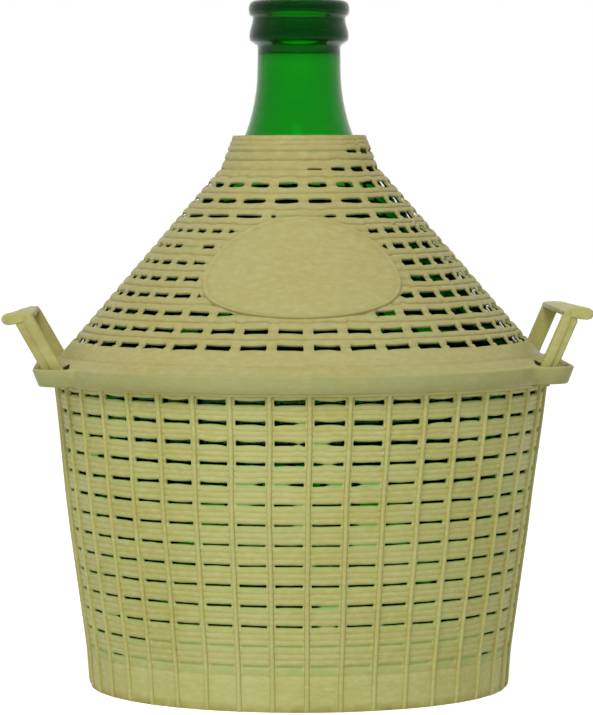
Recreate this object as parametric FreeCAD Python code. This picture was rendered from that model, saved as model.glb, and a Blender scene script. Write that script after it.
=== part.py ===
import FreeCAD, Part
import math
import os

# Five litre demijohn: a blown glass bottle in a woven-look plastic basket, closed by a conical cover.
# Millimetres. The origin is the middle of the basket's foot, +Z is up and the front is -Y.

# Glass bottle
BOTTLE_HEIGHT = 309.0
GLASS_WALL = 3.0
BODY_FOOT_RADIUS = 91.4
SHOULDER_HEIGHT = 142.4
SHOULDER_RADIUS = 109.4
SHOULDER_ROUNDING = 25.0
HEEL_ROUNDING = 14.0
PUNT_RADIUS = 62.0
PUNT_DEPTH = 5.0
SHOULDER_SLOPE = 40.9
NECK_RADIUS = 19.0
NECK_FLARE = 84.0
MOUTH_RADIUS = 14.0
LIP_RADIUS = 23.0
LIP_HEIGHT = 7.0
LIP_ROUNDING = 2.8
GROOVE_DEPTH = 1.9
COLLAR_RADIUS = 22.6
COLLAR_BOTTOM = 20.0
COLLAR_BAND = 5.0
COLLAR_BEVEL = 1.2
GROOVE_WIDTH = 0.8

# Basket
FLOOR_THICKNESS = 2.5
FOOT_RECESS = 1.5
FOOT_RING_WIDTH = 7.0
BASKET_WALL = 2.4
GLASS_GAP = 0.5
BASE_BAND_HEIGHT = 17.0
BELLY_HEIGHT = 72.0
BELLY_BULGE = 0.7
FOOT_FLARE = 0.9
RIM_DROP = 0.4
RIB_COUNT = 40
RIB_WIDTH = 2.0
RIB_PROUD = 1.2
LIP_RING_DROP = 4.0
LIP_RING_HEIGHT = 3.2
LIP_RING_PROUD = 1.3
BASKET_ROWS = 14
TOP_ROW_DROP = 9.6
BASKET_ROW_PITCH = 8.94
TOP_SLOT_HEIGHT = 2.0
BOTTOM_SLOT_HEIGHT = 1.1
BASKET_GAPS_PER_ROW = 8
BASKET_WEB = 4.2

# Handles, moulded with the basket
HANDLE_LENGTH = 100.0
HANDLE_HEIGHT = 30.0
HANDLE_FOOT_RADIUS = 103.4
LEG_WIDTH = 7.8
LEG_DEPTH = 6.0
LEG_RECESS_WIDTH = 2.0
LEG_RECESS_DEPTH = 1.2
LEFT_LEAN = 29.7
RIGHT_LEAN = 23.5
GRIP_SQUARENESS = 22.0
GRIP_WIDTH = 14.0
GRIP_EDGE = 2.6
GRIP_CROWN = 2.3
GRIP_NOSE = 2.8
LUG_THICKNESS = 3.0

# Cover
COVER_WALL = 2.4
COVER_GAP = 1.5
COVER_RISE = 1.25
COLLAR_GAP = 3.0
COLLAR_HEIGHT = 11.0
COLLAR_SWELL = 1.8
COLLAR_BLEND = 8.0
KINK_RISE = 6.0
FLANGE_DROP = 4.0
SKIRT_DEPTH = 7.8
SKIRT_DRAFT = 1.0
SKIRT_GAP = 0.4
COVER_ROWS = 13
BOTTOM_ROW_RISE = 8.0
COVER_ROW_PITCH = 7.0
COVER_SLOT_HEIGHT = 2.0
COVER_WEB = 4.6
UPPER_ROWS = 5
UPPER_GAPS_PER_ROW = 5
LOWER_GAPS_PER_ROW = 8
REEDS_PER_BAND = 2
REED_DEPTH = 0.6
PLATE_OVER_KINK = 35.3
PLATE_TURN = -1.4
PLATE_HALF_WIDTH = 44.0
PLATE_RISE = 28.0
PLATE_FALL = 15.5
PLATE_PROUD = 1.1
PLATE_CHORDS = 12
EAR_ROOM = 4.4
EAR_END_ROOM = 3.8
EAR_DRAFT = 2.5
EAR_ROUNDING = 13.0
EAR_WALL = 2.2
EAR_POCKET_DEPTH = 2.2
EAR_FLOOR = 2.0
LEG_CLEARANCE = 0.6
OVERLAP = 0.5

FRONT = -90.0
STEP = 360.0 / RIB_COUNT
FACET_RATIO = math.cos(math.pi / RIB_COUNT)
GLASS_SEAT = FOOT_RECESS + FLOOR_THICKNESS
SLOPE = math.tan(math.radians(SHOULDER_SLOPE))
SLOPE_COSINE = math.cos(math.radians(SHOULDER_SLOPE))
SHOULDER_CORNER = GLASS_SEAT + SHOULDER_HEIGHT
NECK_CORNER = SHOULDER_CORNER + (SHOULDER_RADIUS - NECK_RADIUS) / SLOPE
RIM_HEIGHT = SHOULDER_CORNER - RIM_DROP
LIP_RING_TOP = RIM_HEIGHT - LIP_RING_DROP
LIP_RING_BOTTOM = LIP_RING_TOP - LIP_RING_HEIGHT
HANDLE_TOP = LIP_RING_TOP + HANDLE_HEIGHT
COVER_TOP = NECK_CORNER + COVER_RISE
COLLAR_FOOT = COVER_TOP - COLLAR_HEIGHT
KINK_HEIGHT = RIM_HEIGHT + KINK_RISE
FLANGE_BOTTOM = KINK_HEIGHT - FLANGE_DROP
SKIRT_BOTTOM = FLANGE_BOTTOM - SKIRT_DEPTH
PLATE_CENTRE = KINK_HEIGHT + PLATE_OVER_KINK
POCKET_FLOOR = FLANGE_BOTTOM - EAR_POCKET_DEPTH


def point(radius, height):
    return FreeCAD.Vector(radius, 0, height)


def turn(shape, degrees):
    turned = shape.copy()
    turned.rotate(FreeCAD.Vector(0, 0, 0), FreeCAD.Vector(0, 0, 1), degrees)
    return turned


def chorded(corners):
    """Points (radius, height) through corners (radius, height, rounding, chords), each rounded by chords."""
    points = []
    count = len(corners)
    for index in range(count):
        radius, height, rounding, chords = corners[index]
        here = point(radius, height)
        if rounding == 0:
            points.append(here)
            continue
        before = (point(*corners[index - 1][:2]) - here).normalize()
        after = (point(*corners[(index + 1) % count][:2]) - here).normalize()
        half_angle = before.getAngle(after) / 2
        centre = here + (before + after).normalize() * (rounding / math.sin(half_angle))
        start = here + before * (rounding / math.tan(half_angle)) - centre
        finish = here + after * (rounding / math.tan(half_angle)) - centre
        sweep = start.getAngle(finish)
        for step in range(chords + 1):
            share = step / chords
            from_start = math.sin((1 - share) * sweep) / math.sin(sweep)
            from_finish = math.sin(share * sweep) / math.sin(sweep)
            points.append(centre + start * from_start + finish * from_finish)
    return points


def turned(corners):
    """A solid of revolution about Z from a closed profile."""
    points = chorded(corners)
    face = Part.Face(Part.makePolygon(points + points[:1]))
    return face.revolve(FreeCAD.Vector(0, 0, 0), FreeCAD.Vector(0, 0, 1), 360)


def ring_corners(radius, height):
    """The corners of a level ring with one corner at each rib, the first at the front."""
    bearings = [math.radians(FRONT + STEP * index) for index in range(RIB_COUNT)]
    return [FreeCAD.Vector(radius * math.cos(b), radius * math.sin(b), height) for b in bearings]


def faceted(levels):
    """A solid with flat sides between the ribs, from its corner radius at each height."""
    rings = [ring_corners(radius, height) for height, radius in levels]
    faces = [Part.Face(Part.makePolygon(ring + ring[:1])) for ring in (rings[0], rings[-1])]
    for lower, upper in zip(rings, rings[1:]):
        for index in range(RIB_COUNT):
            following = (index + 1) % RIB_COUNT
            corners = [lower[index], lower[following], upper[following], upper[index], lower[index]]
            faces.append(Part.Face(Part.makePolygon(corners)))
    solid = Part.Solid(Part.Shell(faces))
    if solid.Volume < 0:
        solid.reverse()
    return solid


def offset_inward(levels, wall):
    """The profile moved inward by the wall, measured square to each of its stretches."""
    stretches = []
    for (low, low_radius), (high, high_radius) in zip(levels, levels[1:]):
        length = math.hypot(high - low, high_radius - low_radius)
        shift = wall * length / (high - low)
        stretches.append((low, low_radius - shift, high, high_radius - shift))
    result = [(stretches[0][0], stretches[0][1])]
    for lower, upper in zip(stretches, stretches[1:]):
        lower_rate = (lower[3] - lower[1]) / (lower[2] - lower[0])
        upper_rate = (upper[3] - upper[1]) / (upper[2] - upper[0])
        lower_start = lower[1] - lower[0] * lower_rate
        upper_start = upper[1] - upper[0] * upper_rate
        height = (upper_start - lower_start) / (lower_rate - upper_rate)
        result.append((height, lower_start + height * lower_rate))
    result.append((stretches[-1][2], stretches[-1][3]))
    return result


def body_radius(height):
    """Outer radius of the glass body, which widens evenly to the shoulder."""
    share = (height - GLASS_SEAT) / SHOULDER_HEIGHT
    return BODY_FOOT_RADIUS + share * (SHOULDER_RADIUS - BODY_FOOT_RADIUS)


def cone_radius(height):
    """Outer radius of the glass on the straight stretch above its shoulder."""
    return SHOULDER_RADIUS - SLOPE * (height - SHOULDER_CORNER)


def cover_radius(height):
    """Outer corner radius of the cover's conical wall."""
    return cone_radius(height) + (COVER_GAP + COVER_WALL) / SLOPE_COSINE


def basket_radius(height):
    """Corner radius of the basket's wall outside, without its ribs."""
    along = body_radius(height) / FACET_RATIO + GLASS_GAP + BASKET_WALL
    if height <= BASE_BAND_HEIGHT:
        return along + FOOT_FLARE * (1 - height / BASE_BAND_HEIGHT)
    if height < BELLY_HEIGHT:
        return along + BELLY_BULGE * (height - BASE_BAND_HEIGHT) / (BELLY_HEIGHT - BASE_BAND_HEIGHT)
    return along + BELLY_BULGE * (RIM_HEIGHT - height) / (RIM_HEIGHT - BELLY_HEIGHT)


def lip_ring_radius():
    """Corner radius of the lip ring outside."""
    return basket_radius(LIP_RING_TOP) + LIP_RING_PROUD


def flare_radius(height):
    """Outer radius of the glass where the neck runs out into the cone."""
    start = NECK_CORNER + NECK_FLARE * math.tan(math.radians(SHOULDER_SLOPE) / 2)
    drop = max(start - height, 0)
    return NECK_RADIUS + NECK_FLARE - math.sqrt(NECK_FLARE**2 - drop**2)


def sector_gap(height, thickness, start, end, reach):
    """A wedge-shaped cutter for one slot between two bearings, in degrees from the front."""
    inner = reach / 3
    corners = []
    for radius, bearing in ((inner, start), (reach, start), (reach, end), (inner, end)):
        angle = math.radians(FRONT + bearing)
        corners.append(
            FreeCAD.Vector(radius * math.cos(angle), radius * math.sin(angle), height - thickness / 2)
        )
    face = Part.Face(Part.makePolygon(corners + corners[:1]))
    return face.extrude(FreeCAD.Vector(0, 0, thickness))


def row_of_gaps(height, thickness, count, web, radius):
    """The cutters of one row of slots, with a web of wall left between them."""
    pitch = 360.0 / count
    half_web = math.degrees(web / 2 / radius)
    reach = 2 * radius
    return [
        sector_gap(height, thickness, pitch * index + half_web, pitch * (index + 1) - half_web, reach)
        for index in range(count)
    ]


def make_bottle():
    top = GLASS_SEAT + BOTTLE_HEIGHT
    lip_bottom = top - LIP_HEIGHT
    collar_bottom = top - COLLAR_BOTTOM
    collar_top = collar_bottom + COLLAR_BAND
    groove_radius = LIP_RADIUS - GROOVE_DEPTH
    outside = [
        (0, GLASS_SEAT + PUNT_DEPTH, 0, 0),
        (PUNT_RADIUS, GLASS_SEAT + PUNT_DEPTH, 0, 0),
        (PUNT_RADIUS + PUNT_DEPTH, GLASS_SEAT, 0, 0),
        (BODY_FOOT_RADIUS, GLASS_SEAT, HEEL_ROUNDING, 2),
        (SHOULDER_RADIUS, SHOULDER_CORNER, SHOULDER_ROUNDING, 2),
        (NECK_RADIUS, NECK_CORNER, NECK_FLARE, 5),
        (NECK_RADIUS, collar_bottom, 0, 0),
        (COLLAR_RADIUS, collar_bottom + COLLAR_BEVEL, 0, 0),
        (COLLAR_RADIUS, collar_top, 0, 0),
        (groove_radius, lip_bottom - GROOVE_WIDTH, 0, 0),
        (groove_radius, lip_bottom, 0, 0),
        (LIP_RADIUS, lip_bottom + COLLAR_BEVEL, 0, 0),
        (LIP_RADIUS, top, LIP_ROUNDING, 3),
        (MOUTH_RADIUS, top, 0, 0),
    ]
    taper = (SHOULDER_RADIUS - BODY_FOOT_RADIUS) / SHOULDER_HEIGHT
    cone_wall = GLASS_WALL / SLOPE_COSINE
    inner_shoulder = SHOULDER_CORNER - (cone_wall - GLASS_WALL) / (taper + SLOPE)
    inner_neck = NECK_RADIUS - GLASS_WALL
    inner_neck_corner = SHOULDER_CORNER + (SHOULDER_RADIUS - cone_wall - inner_neck) / SLOPE
    inside = [
        (MOUTH_RADIUS, collar_bottom, 0, 0),
        (inner_neck, collar_bottom - (inner_neck - MOUTH_RADIUS), 0, 0),
        (inner_neck, inner_neck_corner, NECK_FLARE, 2),
        (body_radius(inner_shoulder) - GLASS_WALL, inner_shoulder, 0, 0),
        (body_radius(GLASS_SEAT + HEEL_ROUNDING) - GLASS_WALL, GLASS_SEAT + HEEL_ROUNDING, 0, 0),
        (BODY_FOOT_RADIUS - HEEL_ROUNDING, GLASS_SEAT + GLASS_WALL, 0, 0),
        (PUNT_RADIUS + PUNT_DEPTH, GLASS_SEAT + GLASS_WALL, 0, 0),
        (PUNT_RADIUS, GLASS_SEAT + PUNT_DEPTH + GLASS_WALL, 0, 0),
        (0, GLASS_SEAT + PUNT_DEPTH + GLASS_WALL, 0, 0),
    ]
    return turned(outside + inside)


def make_rib():
    """One upright rib on the front corner of the wall, from the foot to the lip ring."""
    sink = RIB_WIDTH / 2 * math.tan(math.pi / RIB_COUNT)
    heights = [0, BASE_BAND_HEIGHT, BELLY_HEIGHT, LIP_RING_BOTTOM + OVERLAP]
    back = [(-RIB_WIDTH / 2, -basket_radius(height) + sink, height) for height in heights]
    front = [(-RIB_WIDTH / 2, -basket_radius(height) - RIB_PROUD, height) for height in reversed(heights)]
    corners = [FreeCAD.Vector(*corner) for corner in back + front]
    face = Part.Face(Part.makePolygon(corners + corners[:1]))
    return face.extrude(FreeCAD.Vector(RIB_WIDTH, 0, 0))


def handle_inner(height, lean):
    """Where the inner face of a handle's leg stands at a height, out from the middle."""
    return HANDLE_FOOT_RADIUS + (height - LIP_RING_TOP) * math.tan(math.radians(lean))


def leg_level_width(lean):
    """How wide a leaning leg is where it is cut level."""
    return LEG_WIDTH / math.cos(math.radians(lean))


def leg_block(foot, inset, lean, start, depth):
    """A leaning block as wide as a leg from inset out, from a height up to the grip, depth mm along Y."""
    inner_foot = handle_inner(foot, lean) + inset
    inner_top = handle_inner(HANDLE_TOP, lean) + inset
    width = leg_level_width(lean)
    corners = [
        FreeCAD.Vector(inner_foot, start, foot),
        FreeCAD.Vector(inner_foot + width, start, foot),
        FreeCAD.Vector(inner_top + width, start, HANDLE_TOP),
        FreeCAD.Vector(inner_top, start, HANDLE_TOP),
    ]
    return Part.Face(Part.makePolygon(corners + corners[:1])).extrude(FreeCAD.Vector(0, depth, 0))


def grip_section(lean):
    """The grip's section: a thin inner edge, a crowned top and a rounded nose."""
    tilt = math.radians(lean - GRIP_SQUARENESS)
    outward = FreeCAD.Vector(math.cos(tilt), 0, -math.sin(tilt))
    upward = FreeCAD.Vector(math.sin(tilt), 0, math.cos(tilt))
    top_inner = FreeCAD.Vector(handle_inner(HANDLE_TOP, lean), -HANDLE_LENGTH / 2, HANDLE_TOP)
    shoulder = top_inner + outward * (GRIP_WIDTH - GRIP_NOSE)
    middle = top_inner + outward * ((GRIP_WIDTH - GRIP_NOSE) / 2) + upward * GRIP_CROWN
    nose_top = shoulder + upward * GRIP_CROWN
    nose_bottom = nose_top - upward * (2 * GRIP_NOSE)
    tip = nose_top + outward * GRIP_NOSE - upward * GRIP_NOSE
    bottom_inner = top_inner - upward * GRIP_EDGE
    return Part.Wire(
        [
            Part.Arc(top_inner, middle, nose_top).toShape(),
            Part.Arc(nose_top, tip, nose_bottom).toShape(),
            Part.makeLine(nose_bottom, bottom_inner),
            Part.makeLine(bottom_inner, top_inner),
        ]
    )


def make_handle(side, lean):
    """A handle on the +X side (side 1) or the -X side (side -1): two leaning legs and a grip."""
    half = HANDLE_LENGTH / 2
    foot = LIP_RING_TOP - LUG_THICKNESS
    recess_foot = LIP_RING_TOP + OVERLAP
    inset = leg_level_width(lean) - LEG_RECESS_WIDTH / math.cos(math.radians(lean))
    pieces = [Part.Face(grip_section(lean)).extrude(FreeCAD.Vector(0, HANDLE_LENGTH, 0))]
    for start, recess_start in ((-half, -half), (half - LEG_DEPTH, half - LEG_RECESS_DEPTH)):
        leg = leg_block(foot, 0, lean, start, LEG_DEPTH)
        pieces.append(leg.cut(leg_block(recess_foot, inset, lean, recess_start, LEG_RECESS_DEPTH)))
    wall = basket_radius(foot) - BASKET_WALL / 2
    lug_inner = math.sqrt(basket_radius(foot) ** 2 - half**2) - 2 * BASKET_WALL
    lug_outer = handle_inner(foot, lean) + leg_level_width(lean)
    corner = FreeCAD.Vector(lug_inner, -half, foot)
    lug = Part.makeBox(lug_outer - lug_inner, HANDLE_LENGTH, LUG_THICKNESS, corner)
    pieces.append(lug.cut(faceted([(foot - OVERLAP, wall), (RIM_HEIGHT, wall)])))
    handle = pieces[0].fuse(pieces[1:])
    if side < 0:
        handle = handle.mirror(FreeCAD.Vector(0, 0, 0), FreeCAD.Vector(1, 0, 0))
    return handle


def make_basket():
    heights = [0, BASE_BAND_HEIGHT, BELLY_HEIGHT, RIM_HEIGHT]
    outside = faceted([(height, basket_radius(height)) for height in heights])
    inner_heights = [GLASS_SEAT, BASE_BAND_HEIGHT, BELLY_HEIGHT, RIM_HEIGHT]
    inside = faceted([(height, basket_radius(height) - BASKET_WALL) for height in inner_heights])
    recess_radius = basket_radius(0) - FOOT_RING_WIDTH
    recess = faceted([(0, recess_radius), (FOOT_RECESS, recess_radius)])
    shell = outside.cut([inside, recess])
    cutters = []
    for row in range(BASKET_ROWS):
        height = RIM_HEIGHT - TOP_ROW_DROP - row * BASKET_ROW_PITCH
        share = row / (BASKET_ROWS - 1)
        thickness = TOP_SLOT_HEIGHT + share * (BOTTOM_SLOT_HEIGHT - TOP_SLOT_HEIGHT)
        cutters += row_of_gaps(height, thickness, BASKET_GAPS_PER_ROW, BASKET_WEB, basket_radius(height))
    shell = shell.cut(Part.makeCompound(cutters))
    lip_inside = basket_radius(LIP_RING_BOTTOM) - BASKET_WALL / 2
    lip = faceted([(LIP_RING_BOTTOM, lip_ring_radius()), (LIP_RING_TOP, lip_ring_radius())])
    lip = lip.cut(faceted([(LIP_RING_BOTTOM, lip_inside), (LIP_RING_TOP, lip_inside)]))
    rib = make_rib()
    ribs = [turn(rib, STEP * index) for index in range(RIB_COUNT)]
    handles = [make_handle(-1, LEFT_LEAN), make_handle(1, RIGHT_LEAN)]
    return shell.fuse(ribs + [lip] + handles).removeSplitter()


def rounded_plan(reach, half_length, rounding, height):
    """A rectangle from the middle out to reach along +X, with its two outer corners rounded."""
    slant = rounding * (1 - math.sqrt(0.5))
    start = FreeCAD.Vector(0, -half_length, height)
    near_start = FreeCAD.Vector(reach - rounding, -half_length, height)
    near_middle = FreeCAD.Vector(reach - slant, -half_length + slant, height)
    near_end = FreeCAD.Vector(reach, -half_length + rounding, height)
    far_start = FreeCAD.Vector(reach, half_length - rounding, height)
    far_middle = FreeCAD.Vector(reach - slant, half_length - slant, height)
    far_end = FreeCAD.Vector(reach - rounding, half_length, height)
    finish = FreeCAD.Vector(0, half_length, height)
    return Part.Wire(
        [
            Part.makeLine(start, near_start),
            Part.Arc(near_start, near_middle, near_end).toShape(),
            Part.makeLine(near_end, far_start),
            Part.Arc(far_start, far_middle, far_end).toShape(),
            Part.makeLine(far_end, finish),
            Part.makeLine(finish, start),
        ]
    )


def ear_reach():
    """How far out the ears' rim stands: past the outermost leg, with its room and the ear's own wall."""
    legs = [handle_inner(POCKET_FLOOR, lean) + leg_level_width(lean) for lean in (LEFT_LEAN, RIGHT_LEAN)]
    return max(legs) + EAR_ROOM + EAR_WALL


def ear_block(side, inset, bottom, top):
    """The drafted body of the ear on the +X side (side 1) or the -X side, drawn in by inset all round."""
    half_length = HANDLE_LENGTH / 2 + EAR_END_ROOM + EAR_WALL - inset
    wires = []
    for height in (bottom, top):
        draft = EAR_DRAFT * (FLANGE_BOTTOM - height) / SKIRT_DEPTH
        wires.append(rounded_plan(ear_reach() - draft - inset, half_length, EAR_ROUNDING - inset, height))
    block = Part.makeLoft(wires, True, True)
    return turn(block, 180) if side < 0 else block


def leg_slots(side, lean):
    """The two openings that let a handle's legs through an ear's floor and the flange beside it."""
    bottom = POCKET_FLOOR - EAR_FLOOR
    inner = handle_inner(bottom, lean) - LEG_CLEARANCE
    outer = handle_inner(POCKET_FLOOR, lean) + leg_level_width(lean) + LEG_CLEARANCE
    length = LEG_DEPTH + 2 * LEG_CLEARANCE
    near = -HANDLE_LENGTH / 2 - LEG_CLEARANCE
    slots = []
    for start in (near, -near - length):
        corner = FreeCAD.Vector(inner, start, bottom)
        slots.append(Part.makeBox(outer - inner, length, KINK_HEIGHT - bottom, corner))
    return [turn(slot, 180) if side < 0 else slot for slot in slots]


def make_plate():
    """The smooth oval plate on the front of the cone."""
    low = PLATE_CENTRE - PLATE_FALL - PLATE_PROUD
    high = PLATE_CENTRE + PLATE_RISE + PLATE_PROUD
    proud = PLATE_PROUD / SLOPE_COSINE
    sunk = COVER_WALL / 2 / SLOPE_COSINE
    foot = FreeCAD.Vector(0, 0, low)
    outer = Part.makeCone(cover_radius(low) + proud, cover_radius(high) + proud, high - low, foot)
    inner = Part.makeCone(cover_radius(low) - sunk, cover_radius(high) - sunk, high - low, foot)
    outline = Part.Wire([half_oval(PLATE_HALF_WIDTH, PLATE_RISE), half_oval(PLATE_HALF_WIDTH, -PLATE_FALL)])
    block = Part.Face(outline).extrude(FreeCAD.Vector(0, -2 * SHOULDER_RADIUS, 0))
    return turn(outer.cut(inner).common(block), PLATE_TURN)


def half_oval(half_width, rise):
    """Half of an oval from one side of the plate to the other, over or under its centre height."""
    points = []
    for index in range(PLATE_CHORDS + 1):
        angle = math.pi * index / PLATE_CHORDS
        points.append(
            FreeCAD.Vector(half_width * math.cos(angle), 0, PLATE_CENTRE + rise * math.sin(angle))
        )
    return Part.makePolygon(points)


def radius_on(levels, height):
    """The radius of a profile of (height, radius) corners at a height."""
    for (low, low_radius), (high, high_radius) in zip(levels, levels[1:]):
        if height <= high:
            return low_radius + (high_radius - low_radius) * (height - low) / (high - low)
    return levels[-1][1]


def reeded(levels, rows):
    """The profile with a pair of reeds in each band between two rows of slots."""
    groove = REED_DEPTH / SLOPE_COSINE
    slot = COVER_SLOT_HEIGHT / 2
    steps = 2 * REEDS_PER_BAND
    result = [level for level in levels if level[0] < rows[0] - slot]
    result.append((rows[0] - slot, radius_on(levels, rows[0] - slot)))
    for low, high in zip(rows, rows[1:]):
        for step in range(steps + 1):
            height = low + slot + (high - low - 2 * slot) * step / steps
            depth = 0 if step % 2 else groove
            result.append((height, radius_on(levels, height) - depth))
    result.append((rows[-1] + slot, radius_on(levels, rows[-1] + slot)))
    return result + [level for level in levels if level[0] > rows[-1] + slot]


def make_cover():
    kink_radius = cover_radius(KINK_HEIGHT)
    skirt_radius = lip_ring_radius() + SKIRT_GAP + COVER_WALL
    blend = COLLAR_FOOT - COLLAR_BLEND
    levels = [
        (SKIRT_BOTTOM, skirt_radius),
        (FLANGE_BOTTOM, skirt_radius + SKIRT_DRAFT),
        (KINK_HEIGHT, kink_radius),
        (blend, cover_radius(blend)),
        (COLLAR_FOOT, cover_radius(COLLAR_FOOT) + COLLAR_SWELL),
        (COVER_TOP, flare_radius(COVER_TOP) + COLLAR_GAP + COVER_WALL),
    ]
    rows = [KINK_HEIGHT + BOTTOM_ROW_RISE + row * COVER_ROW_PITCH for row in range(COVER_ROWS)]
    cone = faceted(reeded(levels, rows))
    ears = [ear_block(side, 0, SKIRT_BOTTOM, FLANGE_BOTTOM) for side in (-1, 1)]
    hollows = [ear_block(side, EAR_WALL, SKIRT_BOTTOM, POCKET_FLOOR - EAR_FLOOR) for side in (-1, 1)]
    pockets = [ear_block(side, EAR_WALL, POCKET_FLOOR, FLANGE_BOTTOM).cut(cone) for side in (-1, 1)]
    shell = cone.fuse(ears).cut([faceted(offset_inward(levels, COVER_WALL))] + hollows + pockets)
    seat_top = KINK_HEIGHT - COVER_WALL
    rim = basket_radius(RIM_HEIGHT)
    seat = faceted([(RIM_HEIGHT, rim), (seat_top, rim)])
    seat = seat.cut(faceted([(RIM_HEIGHT, rim - BASKET_WALL), (seat_top, rim - BASKET_WALL)]))
    cutters = []
    for row, height in enumerate(rows):
        count = LOWER_GAPS_PER_ROW if row < COVER_ROWS - UPPER_ROWS else UPPER_GAPS_PER_ROW
        cutters += row_of_gaps(height, COVER_SLOT_HEIGHT, count, COVER_WEB, cover_radius(height))
    shell = shell.fuse(seat).cut(cutters + leg_slots(-1, LEFT_LEAN) + leg_slots(1, RIGHT_LEAN))
    return shell.fuse(make_plate()).removeSplitter()


os.makedirs("parts", exist_ok=True)
make_bottle().exportStep("parts/glass_bottle.step")
make_basket().exportStep("parts/basket.step")
make_cover().exportStep("parts/cover.step")
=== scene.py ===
import bmesh
import bpy
import math
import random
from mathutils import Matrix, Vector, noise


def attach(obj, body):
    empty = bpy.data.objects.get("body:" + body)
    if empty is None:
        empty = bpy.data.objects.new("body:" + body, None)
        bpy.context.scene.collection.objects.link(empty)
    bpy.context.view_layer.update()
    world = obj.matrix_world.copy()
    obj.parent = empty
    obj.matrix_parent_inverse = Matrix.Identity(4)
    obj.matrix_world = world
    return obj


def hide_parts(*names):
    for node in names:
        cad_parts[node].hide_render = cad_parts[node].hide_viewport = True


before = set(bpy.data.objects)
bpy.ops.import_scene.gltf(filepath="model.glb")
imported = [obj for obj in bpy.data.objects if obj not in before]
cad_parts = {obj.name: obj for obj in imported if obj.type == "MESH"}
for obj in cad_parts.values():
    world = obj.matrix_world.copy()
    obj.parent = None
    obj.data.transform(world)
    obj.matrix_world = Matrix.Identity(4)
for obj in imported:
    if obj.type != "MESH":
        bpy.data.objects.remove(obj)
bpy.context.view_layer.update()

# Every size is in millimetres, and a bearing is in degrees round +Z with the front at -90.
# The basket's wall and the cover's wall are grids: COLUMNS cells round, with bands between rows of slots.
MM = 0.001
FRONT = -90.0
COLUMNS = 40
STEP = 360.0 / COLUMNS
MERGE_DISTANCE = 0.01

# Glass
GLASS_SEAT = 4.0
BOTTLE_TOP = 313.0
NECK_WALL = 3.15
BODY_WALL = 4.4
BODY_FOOT_RADIUS = 91.4
SHOULDER_HEIGHT = 142.4
SHOULDER_RADIUS = 109.4
SHOULDER_CORNER = GLASS_SEAT + SHOULDER_HEIGHT
SLOPE_ANGLE = math.radians(40.9)
SLOPE = math.tan(SLOPE_ANGLE)
HEEL_ROUNDING = 14.0
SHOULDER_ROUNDING = 25.0
NECK_RADIUS = 19.0
NECK_FLARE = 84.0

# Basket
BASKET_SKIN = 3.15
BASKET_WALL = 1.3
BASE_BAND_HEIGHT = 17.0
FOOT_FLARE = 0.9
BELLY_HEIGHT = 72.0
BELLY_BULGE = 0.7
RIM_HEIGHT = 146.0
BASKET_ROWS = 14
BASKET_TOP_ROW = 136.4
BASKET_ROW_PITCH = 8.94
BASKET_WEB = 3.7
LIP_RING_BOTTOM = 138.8
LIP_RING_TOP = 142.0
RIB_WIDTH = 2.2
RIB_PROUD = 1.2

# Handles
HANDLE_LENGTH = 100.0
LEG_WIDTHS = {-1: 8.5, 1: 7.2}
LEG_DEPTH = 6.0
LEG_CLEARANCE = 0.6
HANDLE_TOP = 172.0
HANDLE_FOOT_RADIUS = 103.4
LEANS = {-1: 29.7, 1: 23.5}
GRIP_TOPS = {-1: 172.1, 1: 173.5}
GRIP_TILTS = {-1: (-0.8, 17.0), 1: (-4.0, 4.0)}
HANDLE_DIRT = {-1: 0.62, 1: 0.3}

# Cover
COVER_SKIN = 3.9
COVER_WALL = 1.2
COVER_TOP = 252.0
KINK_HEIGHT = 152.0
COVER_LEVELS = (160.0, 166.8, 174.0, 181.4, 188.5, 195.5, 202.6, 209.4, 216.0, 222.7, 229.7, 236.6, 244.6)
COVER_ROWS = len(COVER_LEVELS)
COVER_WEB = 4.4
UPPER_ROWS = 5
COLLAR_FOOT = 241.0
COLLAR_RADIUS = 34.4
COLLAR_TAPER = 0.4
COLLAR_TILT = math.radians(21.8)
COLLAR_BLEND = (231.0, 243.0)
COLLAR_TURN = (229.0, 243.0)
FLANGE_HEIGHT = 148.0
FLANGE_RADIUS = 117.0
SKIRT_BOTTOM = 140.2
SKIRT_DRAFT = 1.0
EAR_REACH = 121.15
EAR_DRAFT = 2.5
EAR_HALF_LENGTH = 56.0
EAR_ROUNDING = 13.0
EAR_WALL = 2.2
POCKET_FLOOR = 145.8
PLATE_TURN = -1.4
PLATE_CENTRE = 187.3
PLATE_HALF_WIDTH = 44.0
PLATE_RISE = 28.0
PLATE_FALL = 15.5
PLATE_UPPER_POWER = 1.3
PLATE_LOWER_POWER = 0.68

# How the moulded pieces sit in the photograph
COVER_SKEW = math.tan(math.radians(0.25))
COVER_PIVOT = 145.0
COVER_SHIFT = 0.6
BASKET_LEAN = 0.8
LEAN_START = 85.0
LEAN_RISE = 45.0

# Camera, from the photograph's own perspective
CAMERA_BEARING = -92.05
CAMERA_DISTANCE = 1794.0
CAMERA_HEIGHT = 248.2
CAMERA_PITCH = 3.133
FOCAL_PIXELS = 3924.0
IMAGE_WIDTH, IMAGE_HEIGHT = 593, 715
AXIS_PIXEL = 299.0

# Light
LAMP_AIM = (0, 0, 0.15)
WORLD_LIGHT = 0.42
FLOOR_DIFFUSE = 0.8
FLOOR_GLOW = 0.72


def spot(radius, bearing, height):
    """A point in metres."""
    angle = math.radians(bearing)
    return (radius * math.cos(angle) * MM, radius * math.sin(angle) * MM, height * MM)


def between(start, end, share):
    return start + (end - start) * share


def ease(share):
    share = min(max(share, 0.0), 1.0)
    return share * share * (3 - 2 * share)


def wobble(bearing, height, scale, seed):
    """Smooth noise from -1 to 1 that closes round the part; scale is its size in millimetres."""
    angle = math.radians(bearing)
    place = Vector((100 * math.cos(angle), 100 * math.sin(angle), height)) / scale
    return noise.noise(place + Vector((seed * 13.7, seed * 5.3, seed * 9.1)))


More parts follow.
